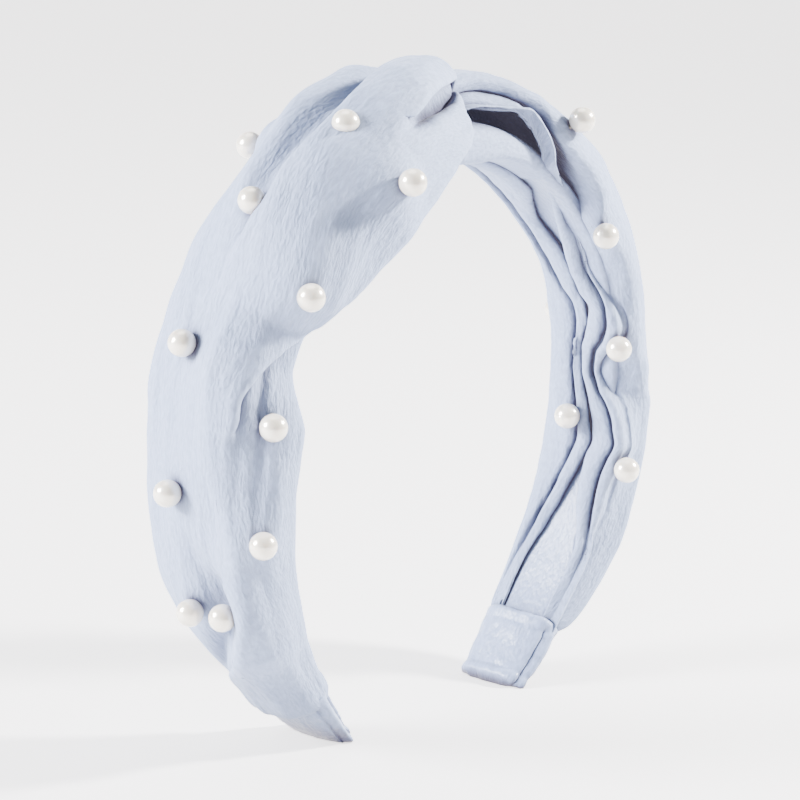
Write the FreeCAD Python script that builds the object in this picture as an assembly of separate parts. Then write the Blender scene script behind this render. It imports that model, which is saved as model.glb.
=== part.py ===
import FreeCAD, Part
import math
import os

# Knotted fabric headband, millimetres.
# Frame: X left to right across the head, Y front (-) to back (+), Z up.
# Origin: on the floor, midway between the two tips.
# Positions along the hoop use s, the arc length from the crown measured down either side,
# and n, the height off the core's middle surface, positive away from the head.

# ---- hoop ----
CROWN_R = 60.0          # radius of the upper half circle of the core's middle surface
CROWN_Z = 69.0          # height of that circle's centre
TIP_X = 29.5            # half distance between the tips at the floor
LOWER_R = ((CROWN_R - TIP_X) ** 2 + CROWN_Z ** 2) / (2 * (CROWN_R - TIP_X))
UPPER_S = CROWN_R * math.pi / 2
TIP_S = UPPER_S + LOWER_R * math.asin(CROWN_Z / LOWER_R)

# ---- core and lining ----
CORE_T = 1.6            # thickness of the plastic core
CORE_HALF = 8.2         # half width over the crown
CORE_HALF_TIP = 6.4     # half width at the tips
CORE_END_S = 168.0
LINING_T = 0.6          # satin wrapped round the core
LINING_GAP = 0.05
LINING_END_S = 155.6

# ---- flex lines: the hoop bends here, one line each side of the knot ----
FLEX_S = 17.2
FLEX_GAP = 0.3
SPREAD_DEG = 13.0       # room cut for the leg to open
SCARF_START_S = 18.5

# ---- fabric ----
SCARF_T = 1.4           # folded, sewn scarf tube pressed flat
SCARF_END_S = 155.6
Q_OUT = 2.5             # exponent of the section's outer half
Q_IN = 4.0              # exponent of the half that wraps under the core

# ---- caps and glue ----
CAP_START_S = 156.0
CAP_WALL_GAP = 0.05
GLUE_T = 0.3
GLUE_S = (157.5, 167.0)

# ---- pearls and their rivets ----
PEARL_R = 3.0
PEARL_LIFT = 0.05       # clearance between a pearl and the fabric
BORE_R = 0.7
BORE_DEPTH = 3.4
PIN_R = 0.6
RIVET_HEAD_R = 1.4
RIVET_HEAD_T = 0.6
RIVET_HEAD_GAP = 0.85   # the fabric is curved behind the flat head
FABRIC_HOLE_R = 0.7

# Scarf stations: s, front half width, back half width, outer height, inner height,
# wrap angle of the front edge, wrap angle of the back edge, height of the front's widest place.
LEFT_STATIONS = [
    (SCARF_START_S, 22.5, 21.0, 19.0, 5.0, 128, 128, 0),
    (32.0, 25.0, 23.0, 18.0, 5.0, 128, 128, 0),
    (50.0, 25.0, 25.0, 15.5, 5.0, 130, 130, 0),
    (68.0, 18.5, 25.0, 12.5, 4.2, 135, 130, 0),
    (80.0, 12.5, 25.0, 11.0, 3.8, 142, 135, 0),
    (98.0, 16.5, 25.0, 10.0, 3.8, 142, 140, 0),
    (118.0, 16.0, 24.0, 10.0, 3.8, 142, 142, 0),
    (138.0, 12.8, 19.0, 8.0, 3.8, 145, 145, 0),
    (SCARF_END_S, 9.2, 9.3, 4.7, 3.8, 160, 160, 0),
]
RIGHT_STATIONS = [
    (SCARF_START_S, 13.5, 16.5, 16.4, 5.0, 92, 128, 0),
    (32.0, 15.5, 16.5, 14.2, 5.0, 94, 134, 0),
    (50.0, 15.0, 15.5, 14.4, 5.2, 146, 148, 5),
    (68.0, 13.8, 14.0, 14.4, 5.2, 150, 168, 7),
    (85.0, 13.4, 13.5, 13.8, 5.2, 156, 184, 7),
    (105.0, 13.6, 13.0, 12.6, 4.8, 158, 188, 7),
    (125.0, 13.8, 12.2, 11.0, 4.4, 156, 166, 6),
    (140.0, 12.0, 11.2, 8.6, 4.0, 152, 155, 3),
    (SCARF_END_S, 9.4, 9.3, 5.2, 3.8, 150, 152, 0),
]
# Pearls on the fabric: s and angle round the section, 0 outermost, negative to the front.
LEFT_PEARLS = [
    (32.4, -18), (50.0, 0), (34.6, -68), (62.4, -56), (75.3, 11),
    (86.7, -66), (102.3, 14), (109.2, -52), (126.8, 13), (125.6, -8), (30.0, 74),
]
RIGHT_PEARLS = [
    (28.9, -51), (51.3, -118), (84.5, -132.6), (114.6, -113), (83.5, 63), (103.9, 180.7), (53.5, 57),
]

# ---- knot over the crown ----
# Pairs give the size at the first and last station.
KNOT_UPPER = dict(s=(-17.0, 4.5), front=(22.5, 13.5), back=(20.5, 17.0), out=(20.8, 18.6),
                  t=2.4, wrap=(-97, 102))
KNOT_LOWER = dict(s=(-5.0, 7.5), front=(14.4, 9.6), back=(15.0, 13.0), out=(16.5, 15.0),
                  t=2.2, wrap=(-84, -18))
UNDERWRAP = dict(s=(-8.5, 8.5), half=10.8, depth=4.4, t=1.4, wrap=(98, 262))
# Tail stations: s, front half width, back half width, outer height.
TAIL = [(-11.0, 11.0, 14.0, 12.0), (-5.0, 10.4, 14.0, 12.0), (4.5, 6.8, 13.6, 11.4),
        (8.0, 5.4, 13.4, 11.2), (12.0, 11.0, 14.0, 13.8), (16.6, 12.4, 14.5, 14.6)]
TAIL_BASE = 4.8
GLUE_PAD = dict(s=6.0, half=5.0, n=(1.65, 4.3))


def hoop_point(s):
    """Point, outward normal and downward tangent of the right half at arc length s."""
    if s <= UPPER_S:
        a = s / CROWN_R
        return (CROWN_R * math.sin(a), CROWN_Z + CROWN_R * math.cos(a)), \
            (math.sin(a), math.cos(a)), (math.cos(a), -math.sin(a))
    a = (s - UPPER_S) / LOWER_R
    return (CROWN_R - LOWER_R + LOWER_R * math.cos(a), CROWN_Z - LOWER_R * math.sin(a)), \
        (math.cos(a), -math.sin(a)), (-math.sin(a), -math.cos(a))


def place(s, y, n, tilt_deg=0.0):
    """Vector at arc length s (negative on the left), n off the core, in a plane tilted forward."""
    side = 1.0 if s >= 0 else -1.0
    (px, pz), (nx, nz), (tx, tz) = hoop_point(abs(s))
    lean = math.tan(math.radians(tilt_deg))
    return FreeCAD.Vector(side * (px + n * (nx + lean * tx)), y, pz + n * (nz + lean * tz))


def core_half(s):
    """Half width of the core, tapering from the sides down to the tips."""
    f = max(0.0, (abs(s) - 90.0) / (CORE_END_S - 90.0))
    return CORE_HALF + (CORE_HALF_TIP - CORE_HALF) * f


def superellipse(angle_deg, half, height, q):
    """Point of a superellipse: half width along y, height along n, angle from the top."""
    a = math.radians(angle_deg)
    sa, ca = math.sin(a), math.cos(a)
    return (half * math.copysign(abs(sa) ** (2 / q), sa),
            height * math.copysign(abs(ca) ** (2 / q), ca))


def section_point(angle_deg, front, back, out, under, mid=0.0):
    """Point of a fabric section; the front is widest at height mid, the back at the core."""
    in_front = (angle_deg % 360) > 180
    half = front if in_front else back
    level = mid if in_front else 0.0
    if math.cos(math.radians(angle_deg)) >= 0:
        y, n = superellipse(angle_deg, half, out - level, Q_OUT)
    else:
        y, n = superellipse(angle_deg, half, under + level, Q_IN)
    return y, n + level


def spline(points):
    """Edge through the points, evenly parametrised so that sections match."""
    curve = Part.BSplineCurve()
    curve.interpolate(Points=points, Parameters=[i / (len(points) - 1) for i in range(len(points))])
    return curve.toShape()


def strip_wire(outer, inner):
    """Closed section of a strip of fabric from its two faces."""
    return Part.Wire([spline(outer), Part.makeLine(outer[-1], inner[-1]),
                      spline(inner[::-1]), Part.makeLine(inner[0], outer[0])])


def lerp(table, s):
    """Station values at s, straight between rows."""
    for a, b in zip(table, table[1:]):
        if s <= b[0]:
            f = (s - a[0]) / (b[0] - a[0])
            return [u + (v - u) * f for u, v in zip(a[1:], b[1:])]
    return list(table[-1][1:])


def fabric_section(side, row, thickness, tilt_deg=0.0, count=21):
    """Wire of the wrapped scarf at one station."""
    s, front, back, out, under, wrap_f, wrap_b, mid = row
    faces = []
    for t in (0.0, thickness):
        pts = []
        for i in range(count):
            a = -wrap_f + (wrap_f + wrap_b) * i / (count - 1)
            y, n = section_point(a, front - t, back - t, out - t, under - t, mid)
            pts.append(place(side * s, y, n, tilt_deg))
        faces.append(pts)
    return strip_wire(*faces)


def scarf(side, table):
    """Scarf half from the flex line to the cap."""
    wires = []
    for k, row in enumerate(table):
        tilt = SPREAD_DEG if k == 0 else 0.0
        wires.append(fabric_section(side, row, SCARF_T, tilt))
    return Part.makeLoft(wires, True, False)


def band(s_range, half_extra, n_low, n_high):
    """Flat strip following the hoop between two heights, width from the core."""
    s0, s1 = s_range
    count = int(abs(s1 - s0) / 3.0) + 3
    wires = []
    for i in range(count):
        s = s0 + (s1 - s0) * i / (count - 1)
        half = core_half(s) + half_extra
        corners = [place(s, y, n) for y, n in
                   ((-half, n_low), (half, n_low), (half, n_high), (-half, n_high))]
        wires.append(Part.makePolygon(corners + corners[:1]))
    return Part.makeLoft(wires, True, False)


def core_piece(s_range):
    return band(s_range, 0.0, -CORE_T / 2, CORE_T / 2)


def lining_piece(s_range):
    """Satin sleeve: outer strip with the core's space taken out."""
    inner = CORE_T / 2 + LINING_GAP
    outer = inner + LINING_T
    skin = band(s_range, LINING_GAP + LINING_T, -outer, outer)
    return skin.cut(band(s_range, LINING_GAP, -inner, inner))


def surface_frame(side, table, solid, s, angle):
    """Point on the scarf's outer face, with its outward direction."""
    front, back, out, under, _, _, mid = lerp(table, s)
    y, n = section_point(angle, front, back, out, under, mid)
    y0, n0 = section_point(angle - 0.5, front, back, out, under, mid)
    y1, n1 = section_point(angle + 0.5, front, back, out, under, mid)
    length = math.hypot(y1 - y0, n1 - n0)
    ny, nn = (n0 - n1) / length, (y1 - y0) / length
    guess = place(side * s, y, n)
    away = place(side * s, y + ny, n + nn).sub(guess).normalize()
    above = guess + away * PEARL_R
    base = solid.distToShape(Part.Vertex(above))[1][0][0]
    return base, above.sub(base).normalize()


def turned(profile, base, away):
    """Solid of revolution of an (r, z) outline of edges, its axis laid along away from base."""
    solid = Part.Face(Part.Wire(profile)).revolve(FreeCAD.Vector(), FreeCAD.Vector(0, 0, 1), 360)
    solid.Placement = FreeCAD.Placement(base, FreeCAD.Rotation(FreeCAD.Vector(0, 0, 1), away))
    return solid


def pearl(base, away):
    """Pearl with a blind bore for its pin, sitting on the fabric at base."""
    low = PEARL_LIFT + PEARL_R - math.sqrt(PEARL_R ** 2 - BORE_R ** 2)
    mid, top, deep = PEARL_LIFT + PEARL_R, PEARL_LIFT + 2 * PEARL_R, PEARL_LIFT + BORE_DEPTH
    v = [FreeCAD.Vector(x, 0, z) for x, z in ((BORE_R, low), (0, top), (0, deep), (BORE_R, deep))]
    skin = Part.Arc(v[0], FreeCAD.Vector(PEARL_R, 0, mid), v[1]).toShape()
    rest = [Part.makeLine(v[i], v[(i + 1) % 4]) for i in (1, 2, 3)]
    return turned([skin] + rest, base, away)


def rivet(base, away):
    """Flat head behind the fabric with a pin up into the pearl."""
    foot = -(SCARF_T + RIVET_HEAD_T + RIVET_HEAD_GAP)
    neck, top = foot + RIVET_HEAD_T, BORE_DEPTH - 0.2
    outline = ((0, foot), (RIVET_HEAD_R, foot), (RIVET_HEAD_R, neck), (PIN_R, neck), (PIN_R, top), (0, top))
    v = [FreeCAD.Vector(x, 0, z) for x, z in outline]
    return turned([Part.makeLine(v[i], v[(i + 1) % 6]) for i in range(6)], base, away)


def dress(side, table, solid, spots):
    """Pearls and rivets of one side, and the scarf with its holes cut."""
    seats = [surface_frame(side, table, solid, s, angle) for s, angle in spots]
    for base, away in seats:
        start = base - away * 2 * SCARF_T
        solid = solid.cut(Part.makeCylinder(FABRIC_HOLE_R, 3 * SCARF_T, start, away))
    return solid, [pearl(*seat) for seat in seats], [rivet(*seat) for seat in seats]


def knot_shell(spec, inner_under=5.0, stations=5):
    """Part of the knot: a strip of fabric arched over the crown, narrowing to the right."""
    wires = []
    s0, s1 = spec["s"]
    w0, w1 = spec["wrap"]
    for i in range(stations):
        f = i / (stations - 1)
        front, back, out = (a + (b - a) * f for a, b in (spec["front"], spec["back"], spec["out"]))
        faces = []
        for t in (0.0, spec["t"]):
            pts = []
            for k in range(13):
                a = w0 + (w1 - w0) * k / 12
                y, n = section_point(a, front - t, back - t, out - t, inner_under)
                pts.append(signed_place(s0 + (s1 - s0) * f, y, n))
            faces.append(pts)
        wires.append(strip_wire(*faces))
    return Part.makeLoft(wires, True, False)


def signed_place(s, y, n):
    """Like place, but smooth across the crown, where s changes sign."""
    a = s / CROWN_R
    r = CROWN_R + n
    return FreeCAD.Vector(r * math.sin(a), y, CROWN_Z + r * math.cos(a))


def crown_block(s_range, y_range, n_range):
    """Curved block over the crown: ring sector between two heights."""
    s0, s1 = s_range
    r0, r1 = CROWN_R + n_range[0], CROWN_R + n_range[1]
    pts = []
    for r, a in ((r0, s0), (r1, s0), (r1, s1), (r0, s1)):
        pts.append((r * math.sin(a / CROWN_R), CROWN_Z + r * math.cos(a / CROWN_R)))
    mids = [(r * math.sin((s0 + s1) / 2 / CROWN_R), CROWN_Z + r * math.cos((s0 + s1) / 2 / CROWN_R))
            for r in (r0, r1)]
    v = [FreeCAD.Vector(x, y_range[0], z) for x, z in pts]
    m = [FreeCAD.Vector(x, y_range[0], z) for x, z in mids]
    wire = Part.Wire([Part.makeLine(v[0], v[1]), Part.Arc(v[1], m[1], v[2]).toShape(),
                      Part.makeLine(v[2], v[3]), Part.Arc(v[3], m[0], v[0]).toShape()])
    return Part.Face(wire).extrude(FreeCAD.Vector(0, y_range[1] - y_range[0], 0))


def crown_core():
    s = FLEX_S - FLEX_GAP
    return crown_block((-s, s), (-CORE_HALF, CORE_HALF), (-CORE_T / 2, CORE_T / 2))


def crown_lining():
    s = FLEX_S - FLEX_GAP
    inner = CORE_T / 2 + LINING_GAP
    outer = inner + LINING_T
    half_in = CORE_HALF + LINING_GAP
    half_out = half_in + LINING_T
    skin = crown_block((-s, s), (-half_out, half_out), (-outer, outer))
    return skin.cut(crown_block((-s - 1, s + 1), (-half_in, half_in), (-inner, inner)))


def underwrap():
    """Fabric that passes under the crown and closes the knot's ring."""
    wires = []
    s0, s1 = UNDERWRAP["s"]
    w0, w1 = UNDERWRAP["wrap"]
    for i in range(5):
        s = s0 + (s1 - s0) * i / 4
        faces = []
        for t in (0.0, UNDERWRAP["t"]):
            pts = []
            for k in range(13):
                y, n = superellipse(w0 + (w1 - w0) * k / 12, UNDERWRAP["half"] - t,
                                    UNDERWRAP["depth"] - t, Q_IN)
                pts.append(signed_place(s, y, n))
            faces.append(pts)
        wires.append(strip_wire(*faces))
    return Part.makeLoft(wires, True, False)


def knot_tail():
    """Gathered end of the right scarf, packed inside the knot."""
    wires = []
    for s, front, back, out in TAIL:
        pts = []
        for k in range(13):
            a = -90 + 180 * k / 12
            y, n = superellipse(a, front if a < 0 else back, out - TAIL_BASE, Q_OUT)
            pts.append(signed_place(s, y, n + TAIL_BASE))
        wires.append(Part.Wire([spline(pts), Part.makeLine(pts[-1], pts[0])]))
    return Part.makeLoft(wires, True, True)


def cap_section(side, s, half, height):
    """Closed oval section of a cap: two matching halves."""
    halves = []
    for start in (-90, 90):
        pts = []
        for k in range(9):
            y, n = superellipse(start + 180 * k / 8, half, height, Q_OUT)
            pts.append(place(side * s, y, n))
        halves.append(spline(pts))
    return Part.Wire(halves)


def tip_cap(side):
    """Folded satin pocket over the end of the core, flat where it stands."""
    rows = ((CAP_START_S, 9.0, 4.4), (161.0, 8.9, 3.9), (167.0, 8.6, 3.3), (TIP_S + 3.5, 8.3, 2.9))
    pocket = Part.makeLoft([cap_section(side, *row) for row in rows], True, False)
    below = Part.makeBox(160, 80, 20, FreeCAD.Vector(-80, -40, -20))
    inner = CORE_T / 2 + GLUE_T + CAP_WALL_GAP
    end = CORE_END_S + 0.3
    cavity = band((side * (CAP_START_S - 1), side * end), GLUE_T + CAP_WALL_GAP, -inner, inner)
    return pocket.cut(below).cut(cavity)


def tip_glue(side):
    """Film of glue between the core's end and its cap."""
    s_range = (side * GLUE_S[0], side * GLUE_S[1])
    inner = CORE_T / 2 + 0.02
    outer = CORE_T / 2 + GLUE_T
    return band(s_range, GLUE_T, -outer, outer).cut(band(s_range, 0.02, -inner, inner))


def main():
    nodes = {}
    nodes["core_crown"] = crown_core()
    nodes["lining_crown"] = crown_lining()
    nodes["knot_upper_lobe"] = knot_shell(KNOT_UPPER)
    nodes["knot_lower_lobe"] = knot_shell(KNOT_LOWER)
    nodes["knot_underwrap"] = underwrap()
    nodes["knot_tail"] = knot_tail()
    pad_s = GLUE_PAD["s"]
    pad_y = GLUE_PAD["half"]
    nodes["crown_glue_pad"] = crown_block((-pad_s, pad_s), (-pad_y, pad_y), GLUE_PAD["n"])
    for name, side, table, spots in (("left", -1, LEFT_STATIONS, LEFT_PEARLS),
                                     ("right", 1, RIGHT_STATIONS, RIGHT_PEARLS)):
        start = side * (FLEX_S + FLEX_GAP)
        nodes["core_" + name] = core_piece((start, side * CORE_END_S))
        nodes["lining_" + name] = lining_piece((start, side * LINING_END_S))
        cloth, pearls, rivets = dress(side, table, scarf(side, table), spots)
        nodes["scarf_" + name] = cloth
        nodes["tip_cap_" + name] = tip_cap(side)
        nodes["tip_glue_" + name] = tip_glue(side)
        nodes["pearl_rivets_" + name] = Part.makeCompound(rivets)
        for k, bead in enumerate(pearls):
            nodes["pearl_%s_%02d" % (name, k + 1)] = bead
    os.makedirs("parts", exist_ok=True)
    for name, shape in nodes.items():
        shape.exportStep("parts/%s.step" % name)


main()
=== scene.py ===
import bpy
import math
import numpy as np
from mathutils import Matrix, Vector, noise


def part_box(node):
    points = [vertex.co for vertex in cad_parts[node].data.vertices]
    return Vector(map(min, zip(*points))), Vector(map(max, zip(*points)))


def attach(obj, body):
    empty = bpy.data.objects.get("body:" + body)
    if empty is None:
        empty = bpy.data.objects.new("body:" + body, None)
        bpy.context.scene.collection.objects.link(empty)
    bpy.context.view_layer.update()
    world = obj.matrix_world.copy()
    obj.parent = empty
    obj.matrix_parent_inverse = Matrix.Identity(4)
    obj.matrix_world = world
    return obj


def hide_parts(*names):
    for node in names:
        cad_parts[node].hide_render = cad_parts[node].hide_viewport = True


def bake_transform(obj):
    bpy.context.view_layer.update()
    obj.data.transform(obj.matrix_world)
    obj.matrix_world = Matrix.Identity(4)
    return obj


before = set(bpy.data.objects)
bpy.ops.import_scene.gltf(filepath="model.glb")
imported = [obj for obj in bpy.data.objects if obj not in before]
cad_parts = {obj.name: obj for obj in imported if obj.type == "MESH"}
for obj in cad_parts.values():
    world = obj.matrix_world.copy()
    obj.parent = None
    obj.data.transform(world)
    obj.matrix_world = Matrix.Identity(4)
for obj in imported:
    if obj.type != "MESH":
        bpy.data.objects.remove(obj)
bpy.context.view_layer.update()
MM = 0.001

# ---------------------------------------------------------------- hoop, as in the CAD model (mm)
CROWN_R = 60.0
CROWN_Z = 69.0
TIP_X = 29.5
LOWER_R = ((CROWN_R - TIP_X) ** 2 + CROWN_Z ** 2) / (2 * (CROWN_R - TIP_X))
UPPER_S = CROWN_R * math.pi / 2
TIP_S = UPPER_S + LOWER_R * math.asin(CROWN_Z / LOWER_R)
CORE_HALF = 8.2
CORE_HALF_TIP = 6.4
CORE_TAPER_S = 90.0
CORE_END_S = 168.0
SCARF_END_S = 157.6


def hoop(s, y, n):
    """World points in mm of arrays of arc length s (negative on the left), y, and height n."""
    s, y, n = np.broadcast_arrays(*(np.asarray(v, float) for v in (s, y, n)))
    a = np.abs(s)
    side = np.where(s < 0, -1.0, 1.0)
    up = np.minimum(a, UPPER_S) / CROWN_R
    low = np.maximum(a - UPPER_S, 0) / LOWER_R
    on_low = a > UPPER_S
    px = np.where(on_low, CROWN_R - LOWER_R + LOWER_R * np.cos(low), CROWN_R * np.sin(up))
    pz = np.where(on_low, CROWN_Z - LOWER_R * np.sin(low), CROWN_Z + CROWN_R * np.cos(up))
    nx = np.where(on_low, np.cos(low), np.sin(up))
    nz = np.where(on_low, -np.sin(low), np.cos(up))
    return np.stack([side * (px + n * nx), y, pz + n * nz], axis=-1)


def core_half(s):
    """Half width of the hoop's core, which narrows towards the tips."""
    f = np.clip((np.abs(s) - CORE_TAPER_S) / (CORE_END_S - CORE_TAPER_S), 0, 1)
    return CORE_HALF + (CORE_HALF_TIP - CORE_HALF) * f


def pchip(xs, ys, x):
    """Smooth curve through (xs, ys) without overshoot; ys may hold one row per x."""
    xs = np.asarray(xs, float)
    ys = np.asarray(ys, float)
    flat = ys.ndim == 1
    if flat:
        ys = ys[:, None]
    h = np.diff(xs)[:, None]
    d = np.diff(ys, axis=0) / h
    m = np.zeros_like(ys)
    m[0], m[-1] = d[0], d[-1]
    w1, w2 = 2 * h[1:] + h[:-1], h[1:] + 2 * h[:-1]
    same = d[:-1] * d[1:] > 0
    with np.errstate(divide="ignore", invalid="ignore"):
        mid = (w1 + w2) / (w1 / d[:-1] + w2 / d[1:])
    m[1:-1] = np.where(same, mid, 0.0)
    x = np.clip(np.asarray(x, float), xs[0], xs[-1])
    k = np.clip(np.searchsorted(xs, x, side="right") - 1, 0, len(xs) - 2)
    hk = xs[k + 1] - xs[k]
    t = ((x - xs[k]) / hk)[..., None]
    hk = hk[..., None]
    out = ((2 * t ** 3 - 3 * t ** 2 + 1) * ys[k] + (t ** 3 - 2 * t ** 2 + t) * hk * m[k]
           + (-2 * t ** 3 + 3 * t ** 2) * ys[k + 1] + (t ** 3 - t ** 2) * hk * m[k + 1])
    return out[..., 0] if flat else out


def column(table, key, x):
    """One named column of a station table, read smoothly at x."""
    names = table[0].split()
    rows = np.array(table[1:], float)
    return pchip(rows[:, 0], rows[:, names.index(key)], x)


def bspline(ctrl, count):
    """Cubic B-spline along each station: ctrl is (stations, points, values); ends are clamped."""
    m = ctrl.shape[1]
    pad = np.concatenate([ctrl[:, :1], ctrl[:, :1], ctrl, ctrl[:, -1:], ctrl[:, -1:]], axis=1)
    u = np.linspace(0, m + 1 - 1e-6, count)
    k = u.astype(int)
    t = (u - k)[None, :, None]
    b = ((1 - t) ** 3 / 6, (3 * t ** 3 - 6 * t ** 2 + 4) / 6,
         (-3 * t ** 3 + 3 * t ** 2 + 3 * t + 1) / 6, t ** 3 / 6)
    return sum(b[j] * pad[:, k + j] for j in range(4))


def grid_mesh(name, points, uv=None, closed=False):
    """Mesh of quads over a (rows, columns, 3) array in mm; uv is in mm across and along the rows."""
    rows, cols = points.shape[:2]
    verts = points.reshape(-1, 3) * MM
    idx = np.arange(rows * cols).reshape(rows, cols)
    if closed:
        right = np.roll(idx, -1, axis=1)
        a, b, c, d = idx[:-1], right[:-1], right[1:], idx[1:]
    else:
        a, b, c, d = idx[:-1, :-1], idx[:-1, 1:], idx[1:, 1:], idx[1:, :-1]
    faces = np.stack([a, b, c, d], axis=-1).reshape(-1, 4)
    me = bpy.data.meshes.new(name)
    me.from_pydata(verts.tolist(), [], faces.tolist())
    if uv is not None:
        layer = me.uv_layers.new(name="cloth")
        loops = np.zeros(len(me.loops), int)
        me.loops.foreach_get("vertex_index", loops)
        layer.data.foreach_set("uv", uv.reshape(-1, 2)[loops].astype(np.float32).ravel())
    me.polygons.foreach_set("use_smooth", np.ones(len(me.polygons), bool))
    me.update()
    obj = bpy.data.objects.new(name, me)
    bpy.context.collection.objects.link(obj)
    return obj


def cloth_uv(points):
    """Distances in mm across and down a grid of points, for the weave."""
    across = np.linalg.norm(np.diff(points, axis=1), axis=2)
    down = np.linalg.norm(np.diff(points, axis=0), axis=2)
    v = np.concatenate([np.zeros((points.shape[0], 1)), np.cumsum(across, axis=1)], axis=1)
    v -= v[:, v.shape[1] // 2][:, None]
    u = np.concatenate([[0.0], np.cumsum(down.mean(axis=1))])
    u = np.repeat(u[:, None], points.shape[1], axis=1)
    return np.stack([v, u], axis=-1)


def apply_modifiers(obj):
    """Turns the object's modifiers into its mesh."""
    deps = bpy.context.evaluated_depsgraph_get()
    me = bpy.data.meshes.new_from_object(obj.evaluated_get(deps), depsgraph=deps)
    obj.modifiers.clear()
    obj.data = me
    return obj


def thicken(obj, t_mm, offset=-1.0):
    """Gives a surface the thickness of cloth: to its inner side, or its outer side with offset 1."""
    m = obj.modifiers.new("thickness", "SOLIDIFY")
    m.thickness = t_mm * MM
    m.offset = offset
    m.use_even_offset = False
    return apply_modifiers(obj)


# ---------------------------------------------------------------- materials
def new_material(name):
    """An empty node material with one principled shader."""
    mat = bpy.data.materials.new(name)
    mat.use_nodes = True
    nt = mat.node_tree
    nt.nodes.clear()
    out = nt.nodes.new("ShaderNodeOutputMaterial")
    bsdf = nt.nodes.new("ShaderNodeBsdfPrincipled")
    nt.links.new(bsdf.outputs[0], out.inputs[0])
    return mat, nt, bsdf


def node(nt, kind, **values):
    """A shader node with inputs or settings given by name."""
    n = nt.nodes.new(kind)
    for k, v in values.items():
        if k in n.inputs:
            n.inputs[k].default_value = v
        else:
            setattr(n, k, v)
    return n


def mix_colour(nt, fac, a, b, mode="MIX"):
    """Mix of two colours; each argument is a socket or a value."""
    m = node(nt, "ShaderNodeMix", data_type="RGBA", blend_type=mode)
    for socket, value in ((m.inputs[0], fac), (m.inputs[6], a), (m.inputs[7], b)):
        if hasattr(value, "is_output"):
            nt.links.new(value, socket)
        else:
            socket.default_value = value
    return m.outputs[2]


def map_range(nt, value, source, target=(0.0, 1.0)):
    """The value's range source, mapped to the range target and held there."""
    m = node(nt, "ShaderNodeMapRange")
    for socket, number in zip(("From Min", "From Max", "To Min", "To Max"), source + target):
        m.inputs[socket].default_value = number
    nt.links.new(value, m.inputs["Value"])
    return m.outputs[0]


def set_inputs(shader, values):
    """Sets a shader's inputs from a dictionary of names and values."""
    for socket, value in values.items():
        shader.inputs[socket].default_value = value


def openness(nt, distance_mm, samples):
    """1 in the open, falling to 0 where other surfaces stand close, within the distance."""
    ao = node(nt, "ShaderNodeAmbientOcclusion", samples=samples, Distance=distance_mm * MM)
    return ao.outputs["AO"]


# Cloth lengths in the materials are in mm; the wave is stretched along the cloth.
WAVE_STRETCH = (1.0, 0.48, 1.0)
WAVE_BUMP_MM = 1.0
WEAVE_BUMP_MM = 0.2
CREASE_SHADE_MM = 7
HOLLOW_SHADE_MM = 25
# Colour of the painted glow that lights closed folds.
PAINTED_FOLD_GLOW = (0.10, 0.09, 0.125, 1)


def fabric(name, colour, light, crease_shade, crinkle, fine, sheen, rough):
    """Woven cloth: lengthwise crinkle and a fine weave from the cloth's own lengths, with painted shade in
    creases, hollows and the crinkle's dips, and a painted glow in closed folds.
    """
    mat, nt, bsdf = new_material(name)
    uv = node(nt, "ShaderNodeUVMap", uv_map="cloth")
    stretch = node(nt, "ShaderNodeMapping", vector_type="POINT")
    stretch.inputs["Scale"].default_value = WAVE_STRETCH
    nt.links.new(uv.outputs[0], stretch.inputs[0])
    wave = node(nt, "ShaderNodeTexNoise", Scale=1.35, Detail=1.0, Roughness=0.45, Distortion=0.25)
    nt.links.new(stretch.outputs[0], wave.inputs["Vector"])
    weave = node(nt, "ShaderNodeTexNoise", Scale=5.0, Detail=2.0, Roughness=0.6)
    nt.links.new(uv.outputs[0], weave.inputs["Vector"])
    wave_bump = node(nt, "ShaderNodeBump", Strength=crinkle, Distance=WAVE_BUMP_MM * MM)
    nt.links.new(wave.outputs[0], wave_bump.inputs["Height"])
    weave_bump = node(nt, "ShaderNodeBump", Strength=fine, Distance=WEAVE_BUMP_MM * MM)
    nt.links.new(weave.outputs[0], weave_bump.inputs["Height"])
    nt.links.new(wave_bump.outputs[0], weave_bump.inputs["Normal"])
    nt.links.new(weave_bump.outputs[0], bsdf.inputs["Normal"])
    tint = node(nt, "ShaderNodeTexNoise", Scale=0.12, Detail=2.0)
    nt.links.new(uv.outputs[0], tint.inputs["Vector"])
    base = mix_colour(nt, tint.outputs[0], colour, light)
    # Painted shade and highlight: the colour darkens in the crinkle's hollows and lightens on its crests,
    # from the same noise as its bump.
    crinkle_shade = map_range(nt, wave.outputs[0], (0.35, 0.7), (0.90, 1.05))
    base = mix_colour(nt, 1.0, base, crinkle_shade, "MULTIPLY")
    # Painted shade: where other surfaces stand close, the colour goes to the crease shade colour, and wide
    # hollows are darkened.
    near = openness(nt, CREASE_SHADE_MM, 8)
    wide = openness(nt, HOLLOW_SHADE_MM, 6)
    base = mix_colour(nt, map_range(nt, near, (0.12, 0.8)), crease_shade, base)
    base = mix_colour(nt, 1.0, base, map_range(nt, wide, (0.15, 0.85), (0.45, 1.0)), "MULTIPLY")
    nt.links.new(base, bsdf.inputs["Base Color"])
    # Painted glow: an emission that brightens the closed folds, where the lamps' light does not reach.
    painted_glow = mix_colour(nt, map_range(nt, wide, (0.0, 0.3)), PAINTED_FOLD_GLOW, (0.0, 0.0, 0.0, 1))
    nt.links.new(painted_glow, bsdf.inputs["Emission Color"])
    set_inputs(bsdf, {"Emission Strength": 0.8, "Roughness": rough, "Sheen Weight": sheen,
                      "Sheen Roughness": 0.45, "Specular IOR Level": 0.3})
    return mat


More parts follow.
